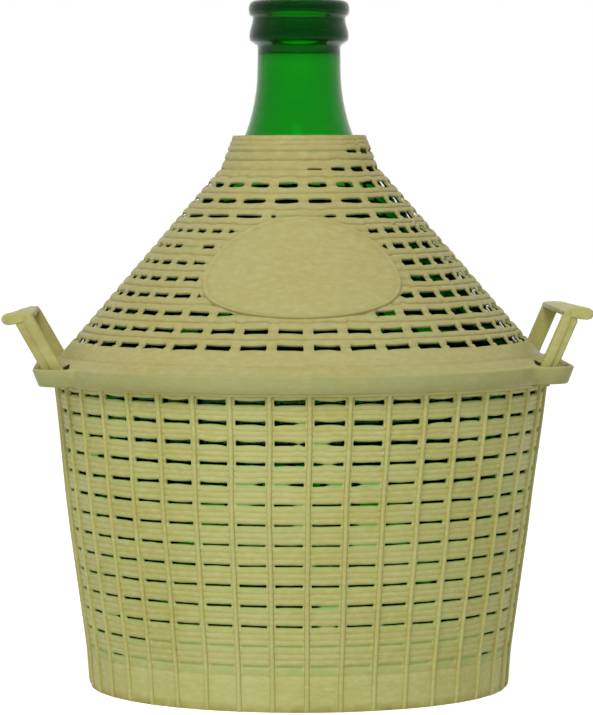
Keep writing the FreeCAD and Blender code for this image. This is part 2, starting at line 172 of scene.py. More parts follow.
def basket_radius(height):
    """Outer radius of the basket's reeds at a height."""
    radius = BODY_FOOT_RADIUS + (height - GLASS_SEAT) / SHOULDER_HEIGHT * (SHOULDER_RADIUS - BODY_FOOT_RADIUS)
    radius += BASKET_SKIN
    if height <= BASE_BAND_HEIGHT:
        return radius + FOOT_FLARE * (1 - max(height, 0) / BASE_BAND_HEIGHT)
    if height < BELLY_HEIGHT:
        return radius + BELLY_BULGE * (height - BASE_BAND_HEIGHT) / (BELLY_HEIGHT - BASE_BAND_HEIGHT)
    return radius + BELLY_BULGE * max(RIM_HEIGHT - height, 0) / (RIM_HEIGHT - BELLY_HEIGHT)


def cone_radius(height):
    return SHOULDER_RADIUS - SLOPE * (height - SHOULDER_CORNER)


def cover_radius(height):
    """Outer radius of the cover's reeds at a height: a straight cone that steepens into the collar."""
    cone = cone_radius(height) + COVER_SKIN / math.cos(SLOPE_ANGLE)
    collar = COLLAR_RADIUS - (height - COLLAR_FOOT) * COLLAR_TAPER
    start, end = COLLAR_BLEND
    if height < start:
        return cone
    if height > end:
        return collar
    return between(cone, collar, ease((height - start) / (end - start)))


def cover_out(height):
    """Direction square to the cover's wall, as shares along the radius and up."""
    start, end = COLLAR_TURN
    tilt = between(SLOPE_ANGLE, COLLAR_TILT, ease((height - start) / (end - start)))
    return math.cos(tilt), math.sin(tilt)


def basket_place(bearing, height, out):
    radius = basket_radius(height) + out
    wave = 0.16 * wobble(bearing, height, 22, 1)
    return spot(radius + wave, bearing, height + 0.14 * wobble(bearing, height, 15, 2))


def cover_place(bearing, height, out):
    along, up = cover_out(height)
    wave = 0.14 * wobble(bearing, height, 20, 3)
    shift = 0.12 * wobble(bearing, height, 14, 4)
    return spot(
        cover_radius(height) + (out + wave) * along - shift * up,
        bearing,
        height + (out + wave) * up + shift * along,
    )


def settled(point, node):
    """The cover sits a little askew on the basket, whose upper wall leans a little to the right."""
    x, y, z = point
    if node == "cover":
        rise = z - COVER_PIVOT * MM
        return x - COVER_SKEW * rise + COVER_SHIFT * MM, y, z + COVER_SKEW * x
    return x + BASKET_LEAN * MM * ease((z / MM - LEAN_START) / LEAN_RISE), y, max(z, 0.0)


def build(name, points, faces, material, node, marks=None, sharp=48, settles=True):
    """Makes one piece of the part. It stands for a CAD node and rides on the part's only body."""
    if settles and node != "glass_bottle":
        points = [settled(point, node) for point in points]
    mesh = bpy.data.meshes.new(name)
    mesh.from_pydata(points, [], faces)
    for label, values in (marks or {}).items():
        mesh.attributes.new(label, "FLOAT", "POINT").data.foreach_set("value", values)
    work = bmesh.new()
    work.from_mesh(mesh)
    bmesh.ops.remove_doubles(work, verts=work.verts, dist=MERGE_DISTANCE * MM)
    bmesh.ops.recalc_face_normals(work, faces=work.faces)
    work.to_mesh(mesh)
    work.free()
    mesh.shade_smooth()
    mesh.set_sharp_from_angle(angle=math.radians(sharp))
    mesh.materials.append(material)
    piece = bpy.data.objects.new(name, mesh)
    bpy.context.scene.collection.objects.link(piece)
    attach(piece, "root")
    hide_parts(node)
    return piece


def lofted(sections, closed_ends=True):
    """Points and faces through sections that each have the same number of points, in a ring."""
    size = len(sections[0])
    points = [point for section in sections for point in section]
    faces = []
    for index in range(len(sections) - 1):
        start = index * size
        for corner in range(size):
            following = (corner + 1) % size
            faces.append((start + corner, start + following, start + size + following, start + size + corner))
    if closed_ends:
        faces.append(tuple(range(size)))
        faces.append(tuple(range(len(points) - size, len(points))))
    return points, faces


def revolved(profile, count=128):
    """Points and faces of a closed profile of (radius, height) turned about Z."""
    points, faces = [], []
    size = len(profile)
    for turn in range(count):
        bearing = 360 * turn / count
        points += [spot(radius, bearing, height) for radius, height in profile]
    for turn in range(count):
        start, following = turn * size, (turn + 1) % count * size
        for index in range(size):
            after = (index + 1) % size
            faces.append((start + index, following + index, following + after, start + after))
    return points, faces


def joined(parts):
    """Several point and face lists as one."""
    points, faces = [], []
    for some_points, some_faces in parts:
        base = len(points)
        points += some_points
        faces += [tuple(base + index for index in face) for face in some_faces]
    return points, faces


# Stations across a band: share of its height, how far it stands out, and which edge it belongs to.
LOWER_EDGE = [(0.0, None, "low"), (0.0, -0.95, "low"), (0.03, -0.35, "low")]
UPPER_EDGE = [(0.97, -0.35, "high"), (1.0, -0.95, "high"), (1.0, None, "high")]


def reeds(count, groove, start=0.045, end=0.955):
    """Stations of rounded reeds side by side."""
    stations = []
    width = (end - start) / count
    for index in range(count):
        left = start + index * width
        if index > 0:
            stations.append((left, -groove, "groove"))
        for share, out in ((0.2, -0.22), (0.5, 0.0), (0.8, -0.22)):
            stations.append((left + share * width, out * groove, "reed"))
    return stations


BASKET_BAND = LOWER_EDGE + reeds(3, 0.26) + UPPER_EDGE
COVER_BAND = LOWER_EDGE + reeds(2, 0.75) + UPPER_EDGE


def cell_offsets(half_web, edge):
    """Where a cell's nine columns stand, in degrees from its web's middle."""
    inside = [edge + (STEP - 2 * edge) * share for share in (0.2, 0.4, 0.6, 0.8)]
    return [0.0, half_web, edge] + inside + [STEP - edge, STEP - half_web]


def slotted_wall(
    rows, bottom, top, bands, place, radius_at, web, wall, web_depth, opening, films, soil_and_shade, painted_foot_shadow
):
    """A wall of bands with slots between them.

    rows holds the height of each row of slots from the lowest up, and bands the stations of each band.
    opening gives, for a row, cell and place across the slot, the gap below and above the row's height,
    or None where a film of plastic closes it. web gives a cell's web width and films how green each row's
    films are; the next two give the dirt and painted shade in a band's grooves and the painted shadow along
    the wall's lowest edge. The result has a mark for dirt and painted shade and one for thin plastic.
    """
    points, faces, grime_and_shade, thin = [], [], [], []
    heights = [bottom] + rows + [top]
    last = len(heights) - 1
    states = []
    for row, height in enumerate(heights):
        line = []
        for cell in range(COLUMNS):
            half_web = math.degrees(web(cell) / 2 / radius_at(height))
            edge = math.degrees((web(cell) / 2 + 0.25) / radius_at(height))
            offsets = cell_offsets(half_web, edge)
            for kind, offset in enumerate(offsets):
                bearing = FRONT + STEP * cell + offset
                if row in (0, last):
                    line.append((bearing, "end", 0.0, 0.0))
                    continue
                solid, gaps = opening(row - 1, cell, offset, edge)
                if solid:
                    line.append((bearing, "web", 0.0, 0.0))
                elif gaps is None:
                    line.append((bearing, "film", 0.0, 0.0))
                else:
                    line.append((bearing, "open", gaps[0], gaps[1]))
        states.append(line)
    total = len(states[0])
    depths = {"end": 0.0, "web": web_depth, "film": -0.7}
    for index, stations in enumerate(bands):
        low_line, high_line = states[index], states[index + 1]
        low_height, high_height = heights[index], heights[index + 1]
        size = len(stations) + 2
        base = len(points)
        for column in range(total):
            low_bearing, low_state, _, low_gap = low_line[column]
            high_bearing, high_state, high_gap, _ = high_line[column]
            low = low_height + low_gap
            high = high_height - high_gap
            low_film, high_film = films[max(index - 1, 0)], films[min(index, len(films) - 1)]
            for share, out, kind in stations:
                state = low_state if kind == "low" else high_state
                # Grooves take dirt with painted shade, and slot edges a little painted shade.
                dirt_and_shade = {"groove": soil_and_shade, "reed": 0.0}.get(kind, 0.2)
                film = 0.0
                if kind in ("low", "high"):
                    if state == "open":
                        out = -wall if out is None else out
                        film = 0.5
                    else:
                        depth = depths[state]
                        out = depth if out is None or out < -0.9 else depth * 0.75
                        film = (low_film if kind == "low" else high_film) if state == "film" else 0.0
                        dirt_and_shade = 0.0 if state == "web" else 0.2
                elif share < 0.12:
                    film = {"film": 0.4 * low_film, "open": 0.1}.get(low_state, 0.0)
                elif share > 0.82:
                    film = {"film": 0.8 * high_film, "open": 0.4}.get(high_state, 0.0)
                # The lowest band's bottom edge is darkened as a painted contact shadow.
                if index == 0 and kind == "low":
                    dirt_and_shade = painted_foot_shadow
                bearing = between(low_bearing, high_bearing, share)
                points.append(place(bearing, between(low, high, share), out))
                grime_and_shade.append(dirt_and_shade)
                thin.append(film)
            for line, height in ((low_line, low), (high_line, high)):
                bearing = line[column][0]
                points.append(place(bearing, height, -wall))
                # The wall's inner face is darkened as painted shade inside the part.
                grime_and_shade.append(0.6)
                thin.append(0.0)
        for column in range(total):
            here = base + column * size
            there = base + (column + 1) % total * size
            for step in range(size - 3):
                faces.append((here + step, there + step, there + step + 1, here + step + 1))
            following = (column + 1) % total
            ends = []
            for line, edge_index, extra in ((low_line, 0, size - 2), (high_line, size - 3, size - 1)):
                first_open = line[column][1] == "open"
                next_open = line[following][1] == "open"
                first = here + (edge_index if first_open else extra)
                second = there + (edge_index if next_open else extra)
                ends.append((first, second))
                if first_open != next_open:
                    if first_open:
                        faces.append((there + edge_index, there + extra, here + edge_index))
                    else:
                        faces.append((here + edge_index, here + extra, there + edge_index))
                if line[column][1] == "end":
                    faces.append((here + edge_index, there + edge_index, there + extra, here + extra))
            (low_first, low_second), (high_first, high_second) = ends
            faces.append((low_first, high_first, high_second, low_second))
    return points, faces, {"grime_and_shade": grime_and_shade, "thin": thin}


def clean_gap(below, above):
    """A slot's two gaps, or a film where they leave less than the moulding can."""
    if below + above < 0.35:
        return None
    return max(below, 0.05), max(above, 0.05)


# Cells of the basket that flash closes, row 0 the lowest: (row, cell): (from, to) across the slot.
BASKET_FILMS = {
    (12, 39): (0.35, 1.1),
    (11, 0): (-1.1, 0.15),
    (11, 39): (0.3, 0.75),
    (10, 0): (-0.2, 0.55),
    (9, 38): (-1.1, 0.3),
    (9, 39): (-1.1, -0.1),
    (9, 0): (0.1, 1.1),
    (9, 1): (-0.3, 1.1),
    (8, 38): (-1.1, 0.1),
    (8, 39): (0.3, 1.1),
    (7, 39): (0.6, 1.1),
    (3, 0): (-0.2, 1.1),
    (2, 0): (-0.4, 0.9),
    (10, 33): (-1.1, -0.2),
}


def cell_draws(seed, rows, sizes, waists, tilts):
    """For each row and cell of a wall, five seeded draws: size, waist, tilt, luck and split."""
    draws = random.Random(seed)
    cells = {}
    for row in range(rows):
        for cell in range(COLUMNS):
            cells[row, cell] = (
                draws.uniform(*sizes),
                draws.uniform(*waists),
                draws.uniform(*tilts),
                draws.random(),
                draws.uniform(-1, 1),
            )
    return cells


BASKET_CELLS = cell_draws(11, BASKET_ROWS, (0.85, 1.12), (0.2, 0.62), (-0.22, 0.22))


def basket_opening(row, cell, offset, edge):
    if offset < edge - 0.01 or offset > STEP - edge + 0.01:
        return True, None
    across = (offset - STEP / 2) / (STEP / 2 - edge)
    size, waist, tilt, luck, split = BASKET_CELLS[row, cell]
    bearing = FRONT + STEP * cell + offset
    closed = BASKET_FILMS.get((row, cell))
    if closed and closed[0] <= across <= closed[1]:
        return False, None
    side = abs((cell + 0.5) * STEP - 180)
    if row == 0 and not (side < 128 and side > 118 and across < 0.3):
        return False, None
    if row == 1 and side > 138 - 14 * luck:
        return False, None
    if luck > 0.955 and across * (1 if tilt > 0 else -1) > split:
        return False, None
    share = row / (BASKET_ROWS - 1)
    height = between(0.62, 1.72, share**0.85) * size
    waist *= between(0.3, 1.0, share)
    height *= 1 + 0.4 * ease((70 - abs(side - 90)) / -45 + 1) if row > 8 else 1
    if 4 < row < 11 and side > 150:
        height *= 0.72
    pinch = 1 - waist * (1 - across * across)
    ragged = 0.16 * wobble(bearing, row * 40, 4, 5)
    below = height / 2 * pinch * (1 + tilt * across) + ragged
    above = height / 2 * pinch * (1 - tilt * across) + 0.16 * wobble(bearing, row * 40 + 17, 4, 6)
    return False, clean_gap(below, above)


# Open cells of the cover's two upper rows, which the moulding nearly closed, by row and pair of cells.
COVER_OPEN = {
    12: {2: 0.45, 3: 1.0, 4: 1.0, 9: 0.8},
    11: {0: 0.3, 1: 0.75, 2: 0.95, 3: 1.0, 4: 1.0, 15: 0.4, 14: 0.6},
}
# How open each lower row's slots are, away from the right side.
COVER_SLIM = {10: 1.0, 9: 0.95, 8: 0.72, 7: 0.75, 6: 0.72, 5: 0.8, 4: 0.9, 3: 0.95, 2: 0.95, 1: 0.95, 0: 1.0}
# Cells of the cover that a film closes, as for the basket.
COVER_FILMS = {
    (7, 38): (-1.1, 1.1),
    (6, 37): (-1.1, 0.2),
    (5, 37): (-0.2, 1.1),
    (7, 36): (-0.1, 1.1),
    (6, 34): (-1.1, 1.1),
}
COVER_CELLS = cell_draws(23, COVER_ROWS, (0.86, 1.08), (0.05, 0.4), (-0.2, 0.2))


def right_share(cell):
    """1 at the cover's right side, where the moulding opened fully, and 0 at its front and left."""
    return ease((cell - 1.5) / 4) * ease((22 - cell) / 4)


def cover_web(cell):
    left = ease((cell - 26) / 4) * ease((38.5 - cell) / 4)
    return COVER_WEB * (1 - 0.42 * right_share(cell) - 0.16 * left)


def under_plate(row, cell):
    height = COVER_LEVELS[row]
    if not PLATE_CENTRE - PLATE_FALL - 1.5 < height < PLATE_CENTRE + PLATE_RISE + 2:
        return False
    return cell < 8 or cell > 31


def plate_share(bearing, height):
    """Under 1 inside the plate's oval and over 1 outside it."""
    across = math.radians(bearing - FRONT - PLATE_TURN)
    rise = height - PLATE_CENTRE
    reach, power = (PLATE_RISE, PLATE_UPPER_POWER) if rise > 0 else (PLATE_FALL, PLATE_LOWER_POWER)
    aside = cover_radius(height) * math.sin(across) / PLATE_HALF_WIDTH
    return math.hypot(aside, (abs(rise) / reach) ** (1 / power))


def cover_opening(row, cell, offset, edge):
    upper = row >= COVER_ROWS - UPPER_ROWS
    span = 2 * STEP if upper else STEP
    if upper:
        offset += STEP * (cell % 2)
        group = cell - cell % 2
    else:
        group = cell
    if offset < edge - 0.01 or offset > span - edge + 0.01:
        return True, None
    across = (offset - span / 2) / (span / 2 - edge)
    size, waist, tilt = COVER_CELLS[row, group][:3]
    bearing = FRONT + STEP * group + offset
    height = COVER_LEVELS[row]
    if under_plate(row, cell) and plate_share(bearing, height) < 1.05:
        return False, None
    closed = COVER_FILMS.get((row, cell))
    if closed and closed[0] <= across <= closed[1]:
        return False, None
    if row in COVER_OPEN:
        size *= COVER_OPEN[row].get(group // 2, 0.0)
        if size < 0.05:
            return False, None
    else:
        size *= COVER_SLIM[row]
    right = right_share(cell)
    tall = 2.15 * between(size, 1.42, right if row < COVER_ROWS - 2 else 0.2 * right)
    if upper:
        pinch = between(0.5 + 0.5 * math.sqrt(max(1 - across * across * 0.9, 0)), 1.0, right)
    else:
        pinch = 1 - waist * (1 - 0.7 * right) * (1 - across * across)
    below = tall / 2 * pinch * (1 + tilt * across) + 0.12 * wobble(bearing, row * 40, 3.5, 7)
    above = tall / 2 * pinch * (1 - tilt * across) + 0.12 * wobble(bearing, row * 40 + 17, 3.5, 8)
    return False, clean_gap(below, above)


def viewed(red, green, blue):
    """A scene-linear colour from the 0 to 255 values that it shows as."""
    linear = []
    for value in (red, green, blue):
        share = value / 255
        linear.append(share / 12.92 if share < 0.04045 else ((share + 0.055) / 1.055) ** 2.4)
    return (*linear, 1.0)


class Shader:
    """Short names for adding and joining a material's nodes."""

    def __init__(self, name):
        self.material = bpy.data.materials.new(name)
        self.material.use_nodes = True
        self.tree = self.material.node_tree
        self.tree.nodes.clear()
        self.output = self.tree.nodes.new("ShaderNodeOutputMaterial")
        self.place = self.tree.nodes.new("ShaderNodeTexCoord").outputs["Object"]

    def add(self, kind, **values):
        node = self.tree.nodes.new(kind)
        for label, value in values.items():
            setattr(node, label, value)
        return node

    def join(self, source, target):
        self.tree.links.new(source, target)

    def noise(self, scale, detail=3.0, stretch=None):
        """Noise from 0 to 1; scale is in lumps per metre."""
        node = self.add("ShaderNodeTexNoise")
        node.inputs["Scale"].default_value = scale
        node.inputs["Detail"].default_value = detail
        place = self.place
        if stretch:
            mapping = self.add("ShaderNodeMapping")
            mapping.inputs["Scale"].default_value = stretch
            self.join(place, mapping.inputs["Vector"])
            place = mapping.outputs["Vector"]
        self.join(place, node.inputs["Vector"])
        return node.outputs["Fac"]

    def spread(self, value, low, high, to_low=0.0, to_high=1.0):
        node = self.add("ShaderNodeMapRange")
        for socket, number in zip(("From Min", "From Max", "To Min", "To Max"), (low, high, to_low, to_high)):
            node.inputs[socket].default_value = number
        self.join(value, node.inputs["Value"])
        return node.outputs["Result"]

    def times(self, first, second):
        node = self.add("ShaderNodeMath", operation="MULTIPLY")
        self.join(first, node.inputs[0])
        if isinstance(second, float):
            node.inputs[1].default_value = second
        else:
            self.join(second, node.inputs[1])
        return node.outputs[0]

    def blend(self, share, first, second):
        node = self.add("ShaderNodeMix", data_type="RGBA")
        self.join(share, node.inputs["Factor"])
        for colour, socket in ((first, node.inputs[6]), (second, node.inputs[7])):
            if isinstance(colour, tuple):
                socket.default_value = colour
            else:
                self.join(colour, socket)
        return node.outputs[2]

    def mark(self, label):
        return self.add("ShaderNodeAttribute", attribute_name=label).outputs["Fac"]

    def bump(self, height, strength, distance):
        node = self.add("ShaderNodeBump")
        node.inputs["Strength"].default_value = strength
        node.inputs["Distance"].default_value = distance
        self.join(height, node.inputs["Height"])
        return node.outputs["Normal"]


def plastic(name, main, warm, pale, dirt_and_shade, film):
    """Aged moulded plastic: uneven yellowing, dirt and painted shade in grooves, hollows and under edges, and
    green where it is thin, which on the cover's skirt is painted shade.
    """
    shader = Shader(name)
    principled = shader.add("ShaderNodeBsdfPrincipled")
    large = shader.spread(shader.noise(22, 4.0), 0.35, 0.65)
    colour = shader.blend(large, main, warm)
    fine = shader.spread(shader.noise(260, 5.0, (1, 1, 2.2)), 0.42, 0.72)
    colour = shader.blend(shader.times(fine, 0.55), colour, pale)
    # Tint towards the film colour by its mark: green where the plastic is thin, and painted shade on the
    # cover skirt's outer foot.
    thin = shader.times(shader.mark("thin"), shader.spread(shader.noise(70, 2.0), 0.3, 0.62, 0.35, 1.0))
    colour = shader.blend(thin, colour, film)
    # Blend towards the dirt colour by its mark: real dirt, plus painted shade in grooves, recesses, under the
    # lip ring and along the foot.
    soil_and_shade = shader.times(shader.mark("grime_and_shade"), shader.spread(shader.noise(120, 4.0), 0.3, 0.7, 0.25, 0.85))
    colour = shader.blend(soil_and_shade, colour, dirt_and_shade)
    speck = shader.spread(shader.noise(900, 2.0), 0.71, 0.78)
    colour = shader.blend(shader.times(speck, 0.45), colour, dirt_and_shade)
    shader.join(colour, principled.inputs["Base Color"])
    shader.join(shader.spread(shader.noise(150, 4.0), 0.3, 0.7, 0.38, 0.56), principled.inputs["Roughness"])
    principled.inputs["IOR"].default_value = 1.5
    principled.inputs["Specular IOR Level"].default_value = 0.1
    shader.join(shader.bump(shader.noise(1100, 3.0), 0.25, 0.0002), principled.inputs["Normal"])
    shader.join(principled.outputs[0], shader.output.inputs["Surface"])
    return shader.material


def glass(name):
    """Green glass, coloured through its thickness and a little uneven as blown glass is."""
    shader = Shader(name)
    principled = shader.add("ShaderNodeBsdfPrincipled")
    tone = shader.spread(shader.noise(30, 3.0), 0.3, 0.7)
    colour = shader.blend(tone, (0.92, 0.98, 0.92, 1), (0.84, 0.95, 0.85, 1))
    shader.join(colour, principled.inputs["Base Color"])
    principled.inputs["Transmission Weight"].default_value = 1.0
    principled.inputs["IOR"].default_value = 1.5
    principled.inputs["Specular IOR Level"].default_value = 0.28
    principled.inputs["Specular Tint"].default_value = (0.1, 0.6, 0.15, 1)
    shader.join(shader.spread(shader.noise(60, 2.0), 0.3, 0.7, 0.0, 0.03), principled.inputs["Roughness"])
    waves = shader.noise(45, 2.0, (1, 1, 0.5))
    shader.join(shader.bump(waves, 0.12, 0.001), principled.inputs["Normal"])
    shader.join(principled.outputs[0], shader.output.inputs["Surface"])
    tint = shader.add("ShaderNodeVolumeAbsorption")
    tint.inputs["Color"].default_value = (0.0, 0.751, 0.041, 1)
    tint.inputs["Density"].default_value = 900.0
    shader.join(tint.outputs[0], shader.output.inputs["Volume"])
    return shader.material


BASKET_PLASTIC = plastic(
    "basket_plastic",
    viewed(190, 190, 122),
    viewed(184, 180, 106),
    viewed(200, 202, 144),
    viewed(146, 128, 62),
    viewed(132, 180, 100),
)
COVER_PLASTIC = plastic(
    "cover_plastic",
    viewed(175, 169, 111),
    viewed(174, 164, 102),
    viewed(188, 184, 134),
    viewed(140, 122, 62),
    viewed(150, 165, 106),
)
# Dark brown plastic for the faces cut round the handle's legs: painted shade that makes those holes read
# dark.
POCKET_SHADE = plastic(
    "pocket_painted_shade",
    viewed(70, 52, 24),
    viewed(58, 44, 18),
    viewed(92, 76, 40),
    viewed(40, 28, 10),
    viewed(60, 60, 24),
)
GREEN_GLASS = glass("green_glass")


def build_basket_wall():
    rows = [BASKET_TOP_ROW - BASKET_ROW_PITCH * (BASKET_ROWS - 1 - row) for row in range(BASKET_ROWS)]
    base = [(0.0, None, "low"), (0.0, -0.2, "low"), (0.03, 0.0, "low")]
    base += [(share, 0.0, "reed") for share in (0.2, 0.4, 0.6, 0.78)]
    base += [(0.8, -0.2, "groove"), (0.84, 0.0, "reed"), (0.9, 0.0, "reed"), (0.95, -0.05, "reed")]
    base += UPPER_EDGE
    under_lip = LOWER_EDGE + [(0.13, 0.0, "reed"), (0.19, -0.2, "groove"), (0.25, -0.35, "groove")]
    under_lip += [(0.33, -0.1, "reed"), (0.6, 0.0, "reed"), (0.9, 0.0, "reed")]
    under_lip += [(1.0, 0.0, "high"), (1.0, -1.0, "high"), (1.0, None, "high")]
    bands = [base] + [BASKET_BAND] * (BASKET_ROWS - 1) + [under_lip]
    # The basket's lowest edge gets a full painted contact shadow, and its grooves get dirt with painted
    # shade.
    points, faces, marks = slotted_wall(
        rows, 0.0, RIM_HEIGHT, bands, basket_place, basket_radius, lambda cell: BASKET_WEB, BASKET_WALL, -0.3,
        basket_opening, [0.4] * 3 + [0.9] * (BASKET_ROWS - 3), soil_and_shade=0.4, painted_foot_shadow=1.0,
    )
    build("basket_wall", points, faces, BASKET_PLASTIC, "basket", marks)


def build_basket_ribs():
    """Half-round ribs up the wall from the foot to the lip ring."""
    half = RIB_WIDTH / 2
    section = [(-half - 0.15, -0.7), (-half, 0.2), (-0.8, 0.85), (-0.3, RIB_PROUD)]
    section += [(0.3, RIB_PROUD), (0.8, 0.85), (half, 0.2), (half + 0.15, -0.7)]
    foot_proud = {0.0: 0.15, 0.5: 0.5, 1.4: 0.9}
    heights = [0.0, 0.5, 1.4] + [3.5 + 3.6 * step for step in range(38)] + [LIP_RING_BOTTOM + 1.5]
    parts, grime_and_shade = [], []
    for rib in range(COLUMNS):
        bearing = FRONT + STEP * rib
        sections = []
        for height in heights:
            radius = basket_radius(height)
            proud = foot_proud.get(height, 1.0)
            sway = 0.3 * wobble(bearing, height, 30, 20 + rib)
            swell = 1 + 0.1 * wobble(bearing, height, 9, 70 + rib)
            ring = []
            for across, out in section:
                turn = math.degrees((across * swell + sway) / radius)
                out_here = out * proud if out > 0 else out
                ring.append(spot(radius + out_here, bearing + turn, height))
                # The rib's flanks, where it meets the wall, are darkened as painted shade.
                grime_and_shade.append(0.75 if out < 0.3 else 0.0)
            sections.append(ring)
        parts.append(lofted(sections))
    points, faces = joined(parts)
    marks = {"grime_and_shade": grime_and_shade, "thin": [0.0] * len(points)}
    build("basket_ribs", points, faces, BASKET_PLASTIC, "basket", marks)


def build_basket_lip():
    """The thin ring under the cover's skirt, with the ragged flash that the moulding left on it."""
    section = [(-0.6, LIP_RING_TOP), (0.9, LIP_RING_TOP), (1.35, 141.6), (1.45, 140.6), (1.45, 139.7)]
    section += [(1.2, 139.2), (0.6, 138.9), (-0.6, LIP_RING_BOTTOM)]
    sections, grime_and_shade = [], []
    count = 360
    middle = (LIP_RING_BOTTOM + LIP_RING_TOP) / 2
    for turn in range(count):
        bearing = FRONT + turn
        ragged = max(wobble(bearing, 0, 2.5, 31), 0) * 0.6 if 300 < turn < 335 else 0.0
        rise = 0.12 * wobble(bearing, 0, 12, 30)
        ring = []
        for out, height in section:
            drop = ragged if height < middle else 0.0
            ring.append(spot(basket_radius(middle) + out, bearing, height - drop + rise))
            # The ring's underside is darkened as a painted shadow under the ring.
            grime_and_shade.append(0.9 if height < 139 else 0.0)
        sections.append(ring)
    points, faces = lofted(sections + sections[:1], closed_ends=False)
    marks = {"grime_and_shade": grime_and_shade + grime_and_shade[: len(section)], "thin": [0.0] * len(points)}
    build("basket_lip", points, faces, BASKET_PLASTIC, "basket", marks, sharp=35)


def build_basket_floor():
    """The foot ring, its recess and the floor that the bottle stands on."""
    outer = basket_radius(0) - 0.8
    inner = outer - 6.2
    profile = [(outer, 0.0), (inner, 0.0), (inner - 0.6, 0.6), (inner - 0.6, 1.5), (0.0, 1.5)]
    profile += [(0.0, GLASS_SEAT - 0.1), (outer - 1.6, GLASS_SEAT - 0.1)]
    points, faces = revolved(profile, 180)
    build("basket_floor", points, faces, BASKET_PLASTIC, "basket", sharp=30)


def handle_inner(height, lean):
    return HANDLE_FOOT_RADIUS + (height - LIP_RING_TOP) * math.tan(math.radians(lean))


def leg_section(near, height, side, swell):
    """One level cut through a leg: near is -1 for the front leg, and swell narrows it to its raised zone."""
    lean = LEANS[side]
    width = LEG_WIDTHS[side] / math.cos(math.radians(lean))
    inner = handle_inner(height, lean)
    face = HANDLE_LENGTH / 2
    back = HANDLE_LENGTH / 2 - LEG_DEPTH
    outline = [(0.0, face - 0.9), (0.03, face - 0.3), (0.09, face), (0.5, face), (0.56, face - 0.25)]
    outline += [(0.61, face - 0.8), (0.66, face - 1.05), (0.93, face - 1.15), (1.0, face - 1.7)]
    outline += [(1.0, back + 0.6), (0.94, back), (0.06, back), (0.0, back + 0.6)]
    rounding = max(height - GRIP_TOPS[side] + 1.6, 0) * 0.5
    return [(inner + rounding + share * swell * width, near * depth, height) for share, depth in outline]


def build_handles():
    """Each handle is two leaning legs that run up into a thin crowned grip with a rounded nose."""
    half = HANDLE_LENGTH / 2 - 0.5
    outline = [(0.0, 0.9), (0.2, 0.3), (0.9, -0.05), (2.8, -0.4), (5.5, -0.7), (8.5, -0.75), (11.0, -0.35)]
    outline += [(12.2, 0.15), (13.2, 1.1), (13.5, 2.3), (13.2, 3.6), (12.2, 4.6), (10.5, 5.0), (7.0, 4.5)]
    outline += [(3.0, 3.2), (0.9, 2.75), (0.2, 2.45), (0.0, 1.9)]
    # The grip's ends shrink towards the middle of its section: distance from the end, size.
    middle = (7.0, 1.9)
    ends = [(0.0, 0.86), (0.3, 0.93), (0.9, 0.98), (1.8, 1.0), (half, 1.0)]
    levels = [(139.5, 1.0), (150, 1.0), (160, 1.0), (164.5, 1.0), (167, 1.0), (168.6, 0.88), (169.8, 0.74)]
    levels += [(170.6, 0.63), (171.2, 0.5), (171.6, 0.36)]
    for side, lean in LEANS.items():
        near_tilt, far_tilt = GRIP_TILTS[side]
        top_inner = handle_inner(HANDLE_TOP, lean)
        rise = GRIP_TOPS[side] - HANDLE_TOP
        parts = []
        for near in (-1, 1):
            sections = []
            for height, swell in levels:
                level = height + (rise if height > 164 else 0)
                section = leg_section(near, level, side, swell)
                sections.append([(x * side * MM, y * MM, z * MM) for x, y, z in section])
            parts.append(lofted(sections))
        sections = []
        places = [(-half + step, size) for step, size in ends]
        places += [(half - step, size) for step, size in reversed(ends[:-1])]
        for along, size in places:
            ring = []
            tilt = math.radians(between(near_tilt, far_tilt, (along + half) / (2 * half)))
            for outward, down in outline:
                outward = between(middle[0], outward, size)
                down = between(middle[1], down, size)
                x = top_inner + outward * math.cos(tilt) - down * math.sin(tilt)
                z = GRIP_TOPS[side] - outward * math.sin(tilt) - down * math.cos(tilt)
                ring.append((side * x * MM, along * MM, z * MM))
            sections.append(ring)
        parts.append(lofted(sections))
        points, faces = joined(parts)
        name = "right_handle" if side > 0 else "left_handle"
        marks = {"grime_and_shade": [HANDLE_DIRT[side]] * len(points), "thin": [0.0] * len(points)}
        build(name, points, faces, BASKET_PLASTIC, "basket", marks, sharp=38, settles=False)


def build_cover_wall():
    rows = list(COVER_LEVELS)
    smooth = [(0.0, None, "low"), (0.0, 0.0, "low"), (0.02, 0.0, "low")]
    smooth += [(share, 0.0, "reed") for share in (0.25, 0.5, 0.75, 0.9)] + UPPER_EDGE
    collar = LOWER_EDGE + [(0.08, -0.1, "reed"), (0.2, 0.05, "reed"), (0.32, -0.1, "reed")]
    collar += [(0.38, -0.3, "groove")]
    collar += [(0.44, -0.1, "reed"), (0.54, 0.05, "reed"), (0.64, -0.1, "reed"), (0.69, -0.25, "groove")]
    collar += [(0.74, -0.05, "reed"), (0.84, 0.1, "reed"), (0.92, 0.0, "reed")]
    collar += [(0.97, -0.3, "high"), (1.0, -0.9, "high"), (1.0, None, "high")]
    bands = [smooth] + [COVER_BAND] * (COVER_ROWS - 1) + [collar]
    # The cover's grooves get dirt with painted shade.
    points, faces, marks = slotted_wall(
        rows, KINK_HEIGHT, COVER_TOP - 0.4, bands, cover_place, cover_radius, cover_web, COVER_WALL, -0.8,
        cover_opening, [0.8] * (COVER_ROWS - 2) + [0.4] * 2, soil_and_shade=0.6, painted_foot_shadow=0.0,
    )
    build("cover_wall", points, faces, COVER_PLASTIC, "cover", marks)


